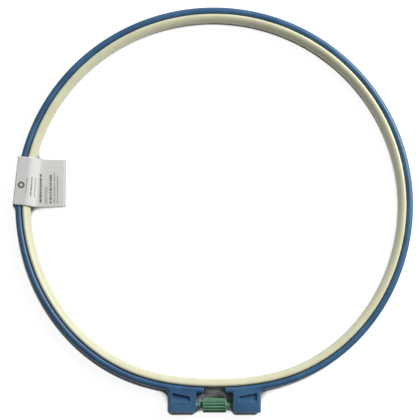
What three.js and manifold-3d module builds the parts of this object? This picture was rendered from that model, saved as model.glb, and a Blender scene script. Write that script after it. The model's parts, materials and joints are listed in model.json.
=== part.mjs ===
// A plastic embroidery hoop, lying flat on a table as it is sold: a split outer ring with a clamp block
// at each end, an inner ring inside it, a double-ended tightening screw between the blocks, and a paper
// label folded round both rings. Millimetres, +Z up, the screw on the -Y side.
import * as THREE from "three";
import { mergeVertices } from "three/addons/utils/BufferGeometryUtils.js";
import Module from "manifold-3d";

const wasm = await Module();
wasm.setup();

// The two rings
const WORK_DIAMETER = 260; // across the outside of the inner ring, where the fabric is gripped
const RING_HEIGHT = 10.5;
const RING_CLEARANCE = 0.4; // between the rings, where the fabric goes
const BAND_THICKNESS = 4.2; // of the outer ring, radially
const BAND_CROWN = 2.1; // height of the rounding over the band's top and bottom edges
const INNER_RING_WIDTH = 5.6;
const INNER_RING_SHOULDER = 1.4; // rounding beside the band; the rest of the width slopes inwards
const FLAT_DEPTH = 5.6; // how far the stiff clamp ends draw both rings in at the screw
const FLAT_SPREAD = THREE.MathUtils.degToRad(25); // angle over which the rings come back to round

// The clamp blocks
const BLOCK_WIDTH = 18.8;
const BLOCK_WALL = 2.5; // plastic between the bore and the block's outer face
const BLOCK_EDGE = 0.5; // rounding along the top and bottom edges
const BLOCK_FAR_EDGE = 1.6; // the same along the side away from the screw
const BLOCK_CORNER = 0.9; // rounding of the upright corner
const BLOCK_FILLET = 2.6; // hollow where the far side runs into the band
const BLOCK_ROOT = 0.5; // how far the block's faces reach past the band's crest
const NOSE_LENGTH = 5.15; // how far the band's end reaches past its block, over the screw
const BORE_END_WALL = 2.1; // plastic between the bore's end and the block's far side

// The lightening pocket in each face of a block
const POCKET_DEPTH = 1.8;
const POCKET_OUTER_RIM = 3.0; // from the block's far side
const POCKET_INNER_RIM = 4.4; // from the block's side facing the screw
const POCKET_OUTER_ROOF = 1.8; // plastic between the pocket and the band at the pocket's far end
const POCKET_INNER_ROOF = 3.0; // the same at the end near the screw
const POCKET_FLOOR_WALL = 1.2; // plastic between the pocket's floor and the bore
const POCKET_RAMP = 1.7; // how far the wall beside the bore leans back
const POCKET_DRAFT = 0.25; // lean of the other walls

// The tightening screw
const BARREL_LENGTH = 15.8;
const BARREL_INSET = 0.4; // how far the barrel stays inside the rings' height
const BARREL_CLEARANCE = 2.8; // from the band's ends to the barrel
const BARREL_END_CHAMFER = 0.5;
const RIB_COUNT = 14;
const RIB_DEPTH = 0.75;
const RIB_TURN = THREE.MathUtils.degToRad(8); // from the top of the barrel to the nearest rib
const NECK_LENGTH = 4.35; // shank in view between the barrel and each block
const SHANK_RADIUS = 2.2;
const SHANK_CLEARANCE = 0.3; // radial, in the bore
const SHANK_REACH = 11.7; // how far each shank enters its block
const SHANK_TIP = 0.8;

// The paper label
const LABEL_ANGLE = THREE.MathUtils.degToRad(174.2); // round the hoop from +X
const LABEL_HEIGHT = 32.4; // along the rings
const LABEL_REACH = 32.4; // from the outer fold towards the hoop's centre
const LOWER_LEAF_OVERHANG = 1.2; // how much further the lower leaf reaches
const LEAF_JOIN_INSIDE = 2.4; // from the inner ring to the crease where the leaves meet
const LEAF_JOIN_HEIGHT = 3.6; // of the meeting leaves above the rings' lower side
const PAPER_THICKNESS = 0.35;
const PAPER_CLEARANCE = 0.3; // from the paper to the rings, and between its leaves
const FOLD_RADIUS = 0.6; // inside the fold under the outer ring
const DRAPE_TURN = THREE.MathUtils.degToRad(55); // of the curve in which a leaf leaves the inner ring

// Fineness of the curved surfaces
const RING_STEPS = 96;
const CROWN_STEPS = 8;
const SHOULDER_STEPS = 4;
const EDGE_STEPS = 5;
const DRAPE_STEPS = 10;
const RIB_STEPS = 8;
const SHANK_STEPS = 24;
const SETTLING_STEPS = 8; // rounds in which the angle of a point on a pressed ring is found

const clampLineRadius = WORK_DIAMETER / 2;
const bandInnerRadius = clampLineRadius + RING_CLEARANCE;
const bandOuterRadius = bandInnerRadius + BAND_THICKNESS;
const bandMiddleRadius = bandInnerRadius + BAND_THICKNESS / 2;
const ringFloor = PAPER_THICKNESS + PAPER_CLEARANCE; // the rings lie on the label's lower leaf
const ringMiddle = ringFloor + RING_HEIGHT / 2;
const barrelRadius = RING_HEIGHT / 2 - BARREL_INSET;
const boreRadius = SHANK_RADIUS + SHANK_CLEARANCE;
const blockInner = BARREL_LENGTH / 2 + NECK_LENGTH;
const blockOuter = blockInner + BLOCK_WIDTH;
const splitHalf = blockInner - NOSE_LENGTH;

// How far the rings are drawn in at a given angle away from the screw.
function drawIn(fromScrew) {
  return FLAT_DEPTH * Math.exp(-((fromScrew / FLAT_SPREAD) ** 2));
}

// The -Y coordinate of a ring line at a given X near the screw.
function lineBesideScrew(radius, x) {
  let angle = 0;
  for (let i = 0; i < SETTLING_STEPS; i++) angle = Math.asin(x / (radius - drawIn(angle)));
  return -(radius - drawIn(angle)) * Math.cos(angle);
}

const screwAxisY = lineBesideScrew(bandOuterRadius, 0) - BARREL_CLEARANCE - barrelRadius;
const blockFaceY = screwAxisY - boreRadius - BLOCK_WALL;

// The hoop's own centre is moved so that the origin is the middle of its box, on the table. On the
// left the box ends at the label's lower corner, which stands out from the curved ring.
const labelWallRadius = bandOuterRadius + PAPER_CLEARANCE + PAPER_THICKNESS;
const labelCornerX = labelWallRadius * Math.cos(LABEL_ANGLE) - (LABEL_HEIGHT / 2) * Math.sin(LABEL_ANGLE);
const centreX = -(bandOuterRadius + labelCornerX) / 2;
const centreY = -(bandOuterRadius + blockFaceY) / 2;

const materials = {
  bluePlastic: new THREE.MeshStandardMaterial({ color: 0x3f6a9a, roughness: 0.42, metalness: 0 }),
  creamPlastic: new THREE.MeshStandardMaterial({ color: 0xe4e0bd, roughness: 0.38, metalness: 0 }),
  greenPlastic: new THREE.MeshStandardMaterial({ color: 0x5c9a72, roughness: 0.4, metalness: 0 }),
  paper: new THREE.MeshStandardMaterial({ color: 0xe6e6e2, roughness: 0.85, metalness: 0 }),
};

// A closed geometry as a solid that can be joined and cut.
function solidOf(geometry) {
  const bare = geometry.clone();
  bare.deleteAttribute("normal");
  bare.deleteAttribute("uv");
  const merged = mergeVertices(bare, 1e-4);
  return new wasm.Manifold(
    new wasm.Mesh({
      numProp: 3,
      vertProperties: merged.attributes.position.array,
      triVerts: new Uint32Array(merged.index.array),
    }),
  );
}

function geometryOf(solid) {
  const mesh = solid.getMesh();
  const geometry = new THREE.BufferGeometry();
  geometry.setAttribute("position", new THREE.BufferAttribute(mesh.vertProperties, 3));
  geometry.setIndex(new THREE.BufferAttribute(mesh.triVerts, 1));
  geometry.computeVertexNormals();
  return geometry;
}

function meshOf(name, geometry, material) {
  const mesh = new THREE.Mesh(geometry, material);
  mesh.name = name;
  return mesh;
}

// Points on part of an ellipse, the angles in quarter turns from +X.
function arc(x, y, radiusX, radiusY, fromQuarter, toQuarter, steps) {
  const right = Math.PI / 2;
  const curve = new THREE.EllipseCurve(x, y, radiusX, radiusY, fromQuarter * right, toQuarter * right);
  return curve.getPoints(steps);
}

// A ring section turned about Z, then pressed flat towards the screw.
function ringFrom(section) {
  const ring = new THREE.LatheGeometry([...section, section[0]], RING_STEPS).rotateX(Math.PI / 2);
  const position = ring.attributes.position;
  const point = new THREE.Vector3();
  for (let i = 0; i < position.count; i++) {
    point.fromBufferAttribute(position, i);
    const radius = Math.hypot(point.x, point.y);
    const fromScrew = Math.atan2(point.x, -point.y);
    const scale = 1 - drawIn(fromScrew) / radius;
    position.setXY(i, point.x * scale, point.y * scale);
  }
  return ring;
}

// The outer ring's section: flat sides with a rounded crown over the top and the bottom.
function bandSection() {
  const halfWidth = BAND_THICKNESS / 2;
  const halfFlat = RING_HEIGHT / 2 - BAND_CROWN;
  return [
    ...arc(bandMiddleRadius, halfFlat, halfWidth, BAND_CROWN, 0, 2, CROWN_STEPS),
    ...arc(bandMiddleRadius, -halfFlat, halfWidth, BAND_CROWN, 2, 4, CROWN_STEPS),
  ];
}

// The inner ring's section: a flat outer side, small shoulders, and a long rounded inner side.
function innerSection() {
  const crest = clampLineRadius - INNER_RING_SHOULDER;
  const halfHeight = RING_HEIGHT / 2;
  const halfFlat = halfHeight - INNER_RING_SHOULDER;
  const slope = INNER_RING_WIDTH - INNER_RING_SHOULDER;
  const shoulder = INNER_RING_SHOULDER;
  return [
    ...arc(crest, halfFlat, shoulder, shoulder, 0, 1, SHOULDER_STEPS),
    ...arc(crest, 0, slope, halfHeight, 1, 3, CROWN_STEPS + SHOULDER_STEPS).slice(1),
    ...arc(crest, -halfFlat, shoulder, shoulder, 3, 4, SHOULDER_STEPS).slice(1),
  ];
}

// A solid through outlines at rising heights, which all have the same number of points.
function loft(layers) {
  const turned = THREE.ShapeUtils.isClockWise(layers[0].outline);
  const outlines = layers.map(({ outline }) => (turned ? [...outline].reverse() : outline));
  const count = outlines[0].length;
  const positions = outlines.flatMap((outline, i) => outline.flatMap((p) => [p.x, p.y, layers[i].z]));
  const top = (layers.length - 1) * count;
  const index = [];
  for (const [a, b, c] of THREE.ShapeUtils.triangulateShape(outlines[0], [])) {
    index.push(c, b, a);
  }
  for (const [a, b, c] of THREE.ShapeUtils.triangulateShape(outlines.at(-1), [])) {
    index.push(top + a, top + b, top + c);
  }
  for (let low = 0; low < top; low += count) {
    for (let i = 0; i < count; i++) {
      const next = (i + 1) % count;
      index.push(low + i, low + next, low + next + count, low + i, low + next + count, low + i + count);
    }
  }
  const geometry = new THREE.BufferGeometry();
  geometry.setAttribute("position", new THREE.Float32BufferAttribute(positions, 3));
  geometry.setIndex(index);
  return geometry;
}

// How far an edge rounded over a radius, at the top and the bottom of the rings, stands in at a height.
function roundedIn(radius, z) {
  const past = Math.abs(z) - (RING_HEIGHT / 2 - radius);
  return past > 0 ? radius - Math.sqrt(Math.max(radius ** 2 - past ** 2, 0)) : 0;
}

// A clamp block's outline at a height, from the screw's side round the outside to the band.
function blockOutline(side, z) {
  const near = blockInner + roundedIn(BLOCK_EDGE, z);
  const face = blockFaceY + roundedIn(BLOCK_EDGE, z);
  const far = blockOuter - roundedIn(BLOCK_FAR_EDGE, z);
  const bandSide = bandOuterRadius - (roundedIn(BAND_CROWN, z) * BAND_THICKNESS) / 2 / BAND_CROWN;
  const end = far + BLOCK_FILLET;
  const path = new THREE.Path();
  path.moveTo(near, face);
  path.lineTo(far - BLOCK_CORNER, face);
  path.quadraticCurveTo(far, face, far, face + BLOCK_CORNER);
  path.lineTo(far, lineBesideScrew(bandSide, far) - BLOCK_FILLET);
  path.quadraticCurveTo(far, lineBesideScrew(bandSide, far), end, lineBesideScrew(bandSide, end));
  const root = Array.from({ length: EDGE_STEPS + 1 }, (_, i) => {
    const x = THREE.MathUtils.lerp(end, near, i / EDGE_STEPS);
    return new THREE.Vector2(x, lineBesideScrew(bandMiddleRadius - BLOCK_ROOT, x));
  });
  return [...path.getPoints(EDGE_STEPS), ...root].map((p) => new THREE.Vector2(side * p.x, p.y));
}

// A clamp block on one side of the screw: +1 is the right-hand one.
function clampBlock(side) {
  const start = RING_HEIGHT / 2 - BLOCK_FAR_EDGE;
  const heights = arc(0, start, BLOCK_FAR_EDGE, BLOCK_FAR_EDGE, 0, 1, EDGE_STEPS).map((p) => p.y);
  const layers = [...heights.map((z) => -z).reverse(), ...heights].map((z) => {
    return { z, outline: blockOutline(side, z) };
  });
  return solidOf(loft(layers));
}

// The wedge-shaped pocket in a block's upper or lower face.
function pocket(side, face) {
  const inner = blockInner + POCKET_INNER_RIM;
  const outer = blockOuter - POCKET_OUTER_RIM;
  const roofInner = lineBesideScrew(bandOuterRadius, inner) - POCKET_INNER_ROOF;
  const roofOuter = lineBesideScrew(bandOuterRadius, outer) - POCKET_OUTER_ROOF;
  const floorEdge = screwAxisY + boreRadius + POCKET_FLOOR_WALL;
  const outlineAt = (lean, ramp) => [
    new THREE.Vector2(side * (inner - lean), roofInner + lean),
    new THREE.Vector2(side * (outer + lean), roofOuter + lean),
    new THREE.Vector2(side * (outer + lean), floorEdge - ramp),
    new THREE.Vector2(side * (inner - lean), floorEdge - ramp),
  ];
  const floor = { z: face * (RING_HEIGHT / 2 - POCKET_DEPTH), outline: outlineAt(0, 0) };
  const mouth = { z: (face * RING_HEIGHT) / 2, outline: outlineAt(POCKET_DRAFT, POCKET_RAMP) };
  return solidOf(loft(face > 0 ? [floor, mouth] : [mouth, floor]));
}

// The blind bore that takes one end of the screw.
function bore(side) {
  const end = blockOuter - BORE_END_WALL;
  const start = splitHalf;
  const hole = new THREE.CylinderGeometry(boreRadius, boreRadius, end - start, SHANK_STEPS);
  hole.rotateZ(Math.PI / 2).translate((side * (start + end)) / 2, screwAxisY, 0);
  return solidOf(hole);
}

function outerRing() {
  let ring = solidOf(ringFrom(bandSection()));
  const gapDepth = 2 * (BAND_THICKNESS + FLAT_DEPTH);
  const gap = new THREE.BoxGeometry(2 * splitHalf, gapDepth, 2 * RING_HEIGHT);
  ring = ring.subtract(solidOf(gap.translate(0, lineBesideScrew(bandOuterRadius, 0), 0)));
  for (const side of [-1, 1]) {
    ring = ring.add(clampBlock(side)).subtract(bore(side));
    for (const face of [-1, 1]) ring = ring.subtract(pocket(side, face));
  }
  return meshOf("outer_ring", geometryOf(ring), materials.bluePlastic);
}

function innerRing() {
  return meshOf("inner_ring", ringFrom(innerSection()), materials.creamPlastic);
}

// The fluted barrel's outline where its ends' chamfer stands in by a given amount: rounded ribs with
// narrower grooves between them.
function barrelOutline(chamfer) {
  const count = RIB_COUNT * RIB_STEPS;
  return Array.from({ length: count }, (_, i) => {
    const angle = (2 * Math.PI * i) / count;
    const groove = (1 - Math.cos(RIB_COUNT * angle)) / 2;
    const radius = Math.min(barrelRadius - RIB_DEPTH * groove ** 1.5, barrelRadius - chamfer);
    return new THREE.Vector2(radius * Math.cos(angle), radius * Math.sin(angle));
  });
}

// The screw's barrel along X, with a rib the named turn away from the top.
function screwBarrel() {
  const end = BARREL_LENGTH / 2;
  const shoulder = end - BARREL_END_CHAMFER;
  const barrel = loft([
    { z: -end, outline: barrelOutline(BARREL_END_CHAMFER) },
    { z: -shoulder, outline: barrelOutline(0) },
    { z: shoulder, outline: barrelOutline(0) },
    { z: end, outline: barrelOutline(BARREL_END_CHAMFER) },
  ]);
  return barrel.rotateY(Math.PI / 2).rotateX(RIB_TURN);
}

// The screw lies along X: a fluted barrel with a shank out of each end.
function tighteningScrew() {
  const shankEnd = blockInner + SHANK_REACH;
  const profile = [
    new THREE.Vector2(0, -shankEnd),
    new THREE.Vector2(SHANK_RADIUS - SHANK_TIP, -shankEnd),
    new THREE.Vector2(SHANK_RADIUS, SHANK_TIP - shankEnd),
    new THREE.Vector2(SHANK_RADIUS, shankEnd - SHANK_TIP),
    new THREE.Vector2(SHANK_RADIUS - SHANK_TIP, shankEnd),
    new THREE.Vector2(0, shankEnd),
  ];
  const shank = new THREE.LatheGeometry(profile, SHANK_STEPS).rotateZ(Math.PI / 2);
  const screw = solidOf(screwBarrel()).add(solidOf(shank));
  const mesh = meshOf("tightening_screw", geometryOf(screw), materials.greenPlastic);
  mesh.position.set(0, screwAxisY, 0);
  return mesh;
}

// A strip of paper along a line of points, given its thickness below the line, and extruded along Y.
function paperStrip(line, height) {
  const normals = line.map((p, i) => {
    const before = line[Math.max(i - 1, 0)];
    const after = line[Math.min(i + 1, line.length - 1)];
    const along = after.clone().sub(before).normalize();
    return new THREE.Vector2(along.y, -along.x);
  });
  const under = line.map((p, i) => p.clone().addScaledVector(normals[i], PAPER_THICKNESS));
  const outline = new THREE.Shape([...line, ...under.reverse()]);
  const strip = new THREE.ExtrudeGeometry(outline, { depth: height, bevelEnabled: false });
  return strip.rotateX(Math.PI / 2).translate(0, height / 2, 0);
}

// A leaf's curve off the inner ring: level at first and steep where it ends.
function drape(fromX, toX, fromZ, toZ) {
  return Array.from({ length: DRAPE_STEPS + 1 }, (_, i) => {
    const turn = (DRAPE_TURN * i) / DRAPE_STEPS;
    const x = THREE.MathUtils.mapLinear(Math.sin(turn), 0, Math.sin(DRAPE_TURN), fromX, toX);
    const z = THREE.MathUtils.mapLinear(Math.cos(turn), 1, Math.cos(DRAPE_TURN), fromZ, toZ);
    return new THREE.Vector2(x, z);
  });
}

// The label in its own frame: X from the outer ring's side towards the hoop's centre, Z up from the
// table. The strip is straight, so it stands clear of the curved rings by the rings' sag under it. Its
// outer fold is cut through at the top, where the upper leaf opens.
function label() {
  const ringTop = ringFloor + RING_HEIGHT;
  const wallX = -(PAPER_CLEARANCE + PAPER_THICKNESS);
  const topZ = ringTop + PAPER_CLEARANCE + PAPER_THICKNESS;
  const innerRingX = BAND_THICKNESS + RING_CLEARANCE;
  const ringSag = clampLineRadius - Math.sqrt(clampLineRadius ** 2 - (LABEL_HEIGHT / 2) ** 2);
  const crestX = innerRingX + ringSag + INNER_RING_SHOULDER;
  const joinX = innerRingX + ringSag + INNER_RING_WIDTH + LEAF_JOIN_INSIDE;
  const joinZ = ringFloor + LEAF_JOIN_HEIGHT;
  const reach = wallX + LABEL_REACH;

  const upperLine = [
    new THREE.Vector2(wallX, topZ),
    ...drape(crestX, joinX, topZ, joinZ + PAPER_THICKNESS),
    new THREE.Vector2(reach, joinZ + PAPER_THICKNESS),
  ];
  const lowerTop = joinZ - PAPER_CLEARANCE;
  const insideX = wallX + PAPER_THICKNESS;
  const foldX = insideX + FOLD_RADIUS;
  const foldZ = PAPER_THICKNESS + FOLD_RADIUS;
  const lowerLine = [
    new THREE.Vector2(insideX, topZ - PAPER_THICKNESS - PAPER_CLEARANCE),
    ...arc(foldX, foldZ, FOLD_RADIUS, FOLD_RADIUS, 2, 3, EDGE_STEPS),
    ...drape(crestX, joinX, PAPER_THICKNESS, lowerTop),
    new THREE.Vector2(reach + LOWER_LEAF_OVERHANG, lowerTop),
  ];
  const group = new THREE.Group();
  group.add(
    meshOf("label_upper_leaf", paperStrip(upperLine, LABEL_HEIGHT), materials.paper),
    meshOf("label_lower_leaf", paperStrip(lowerLine, LABEL_HEIGHT), materials.paper),
  );
  group.position.set(bandOuterRadius * Math.cos(LABEL_ANGLE), bandOuterRadius * Math.sin(LABEL_ANGLE), 0);
  group.rotation.z = LABEL_ANGLE + Math.PI;
  return group;
}

const rings = new THREE.Group();
rings.add(outerRing(), innerRing(), tighteningScrew());
rings.position.z = ringMiddle;

const hoop = new THREE.Group();
hoop.add(rings, label());
hoop.position.set(centreX, centreY, 0);

const part = new THREE.Group();
part.add(hoop);

export default part;
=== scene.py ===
"""A plastic embroidery hoop with its paper label, dressed for a photograph from almost straight above.

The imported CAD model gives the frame. Every piece takes its place from the boxes and joints of that model and
is built in metres in the same frame: +Z up, the tightening screw along X on the -Y side of the rings.
"""

import json
import logging
import math
from collections.abc import Callable, Iterable, Sequence
from dataclasses import dataclass
from enum import Enum

import bmesh
import bpy
from mathutils import Matrix, Vector

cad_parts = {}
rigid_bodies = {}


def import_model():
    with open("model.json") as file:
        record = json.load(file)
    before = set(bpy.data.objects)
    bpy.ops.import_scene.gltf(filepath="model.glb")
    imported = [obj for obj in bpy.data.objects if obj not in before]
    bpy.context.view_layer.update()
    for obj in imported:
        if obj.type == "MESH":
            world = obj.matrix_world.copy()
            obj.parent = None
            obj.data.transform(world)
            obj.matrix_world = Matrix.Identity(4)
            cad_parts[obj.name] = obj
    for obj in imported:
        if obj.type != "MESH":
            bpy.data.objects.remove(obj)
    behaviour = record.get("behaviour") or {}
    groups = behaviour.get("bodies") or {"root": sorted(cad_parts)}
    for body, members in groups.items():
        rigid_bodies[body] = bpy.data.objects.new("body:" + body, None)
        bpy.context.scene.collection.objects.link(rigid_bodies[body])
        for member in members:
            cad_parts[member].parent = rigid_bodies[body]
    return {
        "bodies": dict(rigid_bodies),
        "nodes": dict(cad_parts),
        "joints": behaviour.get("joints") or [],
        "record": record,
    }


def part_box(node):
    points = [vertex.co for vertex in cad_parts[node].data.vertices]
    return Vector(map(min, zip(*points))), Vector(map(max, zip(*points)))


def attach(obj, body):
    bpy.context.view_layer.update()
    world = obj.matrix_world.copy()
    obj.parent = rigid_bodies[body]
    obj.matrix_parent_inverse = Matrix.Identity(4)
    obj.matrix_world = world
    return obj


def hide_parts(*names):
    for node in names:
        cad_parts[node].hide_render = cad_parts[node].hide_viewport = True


MM = 0.001
FULL_TURN = 2 * math.pi
SMOOTH_ANGLE = math.radians(32)
MERGE_DISTANCE = 0.001 * MM
WHITE = "#ffffff"

log = logging.getLogger("embroidery_hoop")


class Side(Enum):
    """The two sides of the screw, as the sign of X."""

    LEFT = -1
    RIGHT = 1


class Hand(Enum):
    """The sense of a thread, as the sign of its phase against the turn about +X."""

    RIGHT_HAND = 1
    LEFT_HAND = -1


# Helpers for colours, shader nodes and meshes


def linear(hex_code: str) -> tuple[float, float, float, float]:
    """Turn an sRGB hex colour to linear.

    Args:
        hex_code: The colour as "#rrggbb".

    Returns:
        The linear red, green and blue, and an alpha of 1.
    """
    parts = [int(hex_code[start : start + 2], 16) / 255 for start in (1, 3, 5)]
    curved = [((part + 0.055) / 1.055) ** 2.4 if part > 0.04045 else part / 12.92 for part in parts]
    return (curved[0], curved[1], curved[2], 1.0)


def add_node(tree: bpy.types.NodeTree, kind: str, settings: dict | None = None, **inputs) -> bpy.types.Node:
    """Add a shader node with its settings and links.

    Args:
        tree: The material's or world's node tree.
        kind: The node's type name.
        settings: Values of the node's own properties.
        **inputs: Values or output sockets for the node's inputs, by name with _ for a space, or by
            number as in_0, in_1.

    Returns:
        The new node.
    """
    node = tree.nodes.new(kind)
    for name, value in (settings or {}).items():
        setattr(node, name, value)
    for name, value in inputs.items():
        key = int(name[3:]) if name.startswith("in_") else name.replace("_", " ")
        if isinstance(value, bpy.types.NodeSocket):
            tree.links.new(value, node.inputs[key])
        else:
            node.inputs[key].default_value = value
    return node


def lofted(outlines: Sequence[Sequence[Vector]]) -> bmesh.types.BMesh:
    """Extrude a face step by step through outlines.

    Args:
        outlines: Closed outlines with the same number of points, from one end of the solid to the other.

    Returns:
        The closed solid.
    """
    mesh = bmesh.new()
    face = mesh.faces.new([mesh.verts.new(point) for point in outlines[0]])
    for step, outline in enumerate(outlines[1:]):
        grown = bmesh.ops.extrude_face_region(mesh, geom=[face])["geom"]
        if step:
            # Extruding leaves the old face inside the solid. Only the first one is an end.
            bmesh.ops.delete(mesh, geom=[face], context="FACES_ONLY")
        face = next(item for item in grown if isinstance(item, bmesh.types.BMFace))
        for loop, point in zip(face.loops, outline):
            loop.vert.co = point
    bmesh.ops.recalc_face_normals(mesh, faces=mesh.faces[:])
    return mesh


def turned(profile: Sequence[Vector], axis: Vector, steps: int, closed: bool) -> bmesh.types.BMesh:
    """Spin a profile a full turn about an axis through the origin.

    Args:
        profile: The profile's points in a plane that holds the axis.
        axis: The axis of the turn.
        steps: How many steps the turn has.
        closed: Whether the last point joins the first, as in a ring's section.

    Returns:
        The turned mesh, with its poles closed.
    """
    mesh = bmesh.new()
    verts = [mesh.verts.new(point) for point in profile]
    edges = [mesh.edges.new(pair) for pair in zip(verts, verts[1:])]
    if closed:
        edges.append(mesh.edges.new((verts[-1], verts[0])))
    bmesh.ops.spin(mesh, geom=verts + edges, cent=(0, 0, 0), axis=axis, angle=FULL_TURN, steps=steps, use_merge=True)
    bmesh.ops.remove_doubles(mesh, verts=mesh.verts[:], dist=MERGE_DISTANCE)
    bmesh.ops.recalc_face_normals(mesh, faces=mesh.faces[:])
    return mesh


def arc(centre: Vector, across: Vector, up: Vector, start: float, end: float, steps: int) -> list[Vector]:
    """Give points along part of an ellipse.

    Args:
        centre: The ellipse's centre.
        across: The half axis at angle 0.
        up: The half axis at a quarter turn.
        start: The first angle, in quarter turns.
        end: The last angle, in quarter turns.
        steps: How many steps lie between them.

    Returns:
        The points, both ends included.
    """
    angles = [(start + (end - start) * i / steps) * FULL_TURN / 4 for i in range(steps + 1)]
    return [centre + across * math.cos(angle) + up * math.sin(angle) for angle in angles]


def quarter(steps: int) -> list[float]:
    """Split a quarter turn into equal steps, and give the angles with both ends."""
    return [i / steps * FULL_TURN / 4 for i in range(steps + 1)]


def bend(corner: Vector, before: Vector, after: Vector, steps: int) -> list[Vector]:
    """Round one corner with a quadratic curve.

    Args:
        corner: The sharp corner.
        before: From the corner to where the curve starts.
        after: From the corner to where the curve ends.
        steps: How many steps the curve has.

    Returns:
        The curve's points, both ends included.
    """
    shares = [step / steps for step in range(steps + 1)]
    return [corner + before * (1 - share) ** 2 + after * share**2 for share in shares]


def rounded(corners: Sequence[Vector], radius: float, steps: int) -> list[Vector]:
    """Round the corners of a closed outline.

    Args:
        corners: The outline's corners.
        radius: How far along each side the rounding starts.
        steps: How many steps each corner has.

    Returns:
        The rounded outline.
    """
    points = []
    for i, corner in enumerate(corners):
        before = (corners[i - 1] - corner).normalized() * radius
        after = (corners[(i + 1) % len(corners)] - corner).normalized() * radius
        points += bend(corner, before, after, steps)
    return points


def widened(outline: Sequence[Vector], amount: float) -> list[Vector]:
    """Move a closed outline outwards in its own plane of constant Z.

    Args:
        outline: The outline, anticlockwise seen from above.
        amount: How far it moves; a negative amount draws it in.

    Returns:
        The moved outline.
    """
    moved = []
    for i, point in enumerate(outline):
        along = (outline[(i + 1) % len(outline)] - outline[i - 1]).normalized()
        moved.append(point + Vector((along.y, -along.x, 0)) * amount)
    return moved


def run(line: Sequence[Vector]) -> float:
    """Measure a line of points along its length."""
    return sum((end - start).length for start, end in zip(line, line[1:]))


def split(line: Sequence[Vector], parts: Sequence[int]) -> list[Vector]:
    """Split each stretch of a line into its own number of equal parts.

    Args:
        line: The line's points.
        parts: How many parts each stretch gets.

    Returns:
        The line with the points between them added.
    """
    points = [line[0]]
    for start, end, count in zip(line, line[1:], parts):
        points += [start.lerp(end, (i + 1) / count) for i in range(count)]
    return points


def lip(radius: float, depth: float) -> float:
    """Tell how far a rounded mouth stands back at a depth below the face that it opens in."""
    inside = min(max(radius - depth, 0), radius)
    return radius - math.sqrt(radius**2 - inside**2)


def mirrored(mesh: bmesh.types.BMesh, axis: str) -> None:
    """Add a mesh's mirror image across the plane through the origin, square to an axis."""
    bmesh.ops.mirror(mesh, geom=mesh.verts[:] + mesh.edges[:] + mesh.faces[:], merge_dist=0, axis=axis)
    bmesh.ops.recalc_face_normals(mesh, faces=mesh.faces[:])


def place_mesh(mesh: bmesh.types.BMesh, name: str, at: Vector) -> bpy.types.Object:
    """Move a mesh to its place and make it an object at the origin.

    Args:
        mesh: The mesh, which is freed.
        name: The object's name.
        at: Where the mesh's own origin goes, in the frame.

    Returns:
        The object, linked to the scene.
    """
    bmesh.ops.translate(mesh, vec=at, verts=mesh.verts[:])
    data = bpy.data.meshes.new(name)
    mesh.to_mesh(data)
    mesh.free()
    piece = bpy.data.objects.new(name, data)
    bpy.context.scene.collection.objects.link(piece)
    return piece


def join_and_cut(
    piece: bpy.types.Object, added: Iterable[bpy.types.Object], cutters: Iterable[bpy.types.Object]
) -> None:
    """Join solids to a piece, cut others out of it, and remove them.

    Args:
        piece: The piece, whose mesh is replaced by the result.
        added: Solids to join.
        cutters: Solids to cut away.
    """
    helpers = [(helper, "UNION") for helper in added] + [(helper, "DIFFERENCE") for helper in cutters]
    for helper, operation in helpers:
        modifier = piece.modifiers.new(operation.title(), "BOOLEAN")
        modifier.operation = operation
        modifier.object = helper
        modifier.solver = "EXACT"
    depsgraph = bpy.context.evaluated_depsgraph_get()
    result = bpy.data.meshes.new_from_object(piece.evaluated_get(depsgraph))
    piece.modifiers.clear()
    piece.data = result
    for helper, _ in helpers:
        bpy.data.objects.remove(helper)


def smooth_piece(piece: bpy.types.Object) -> None:
    """Shade a piece smooth up to sharp edges, with flat faces kept flat to the eye.

    Args:
        piece: The piece, whose last modifier this adds.
    """
    piece.data.polygons.foreach_set("use_smooth", [True] * len(piece.data.polygons))
    piece.data.set_sharp_from_angle(angle=SMOOTH_ANGLE)
    weighted = piece.modifiers.new("Flat faces", "WEIGHTED_NORMAL")
    weighted.keep_sharp = True
    # The highest weight leaves a corner's normal to the largest face there.
    weighted.weight = 100


# Finishes


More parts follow.
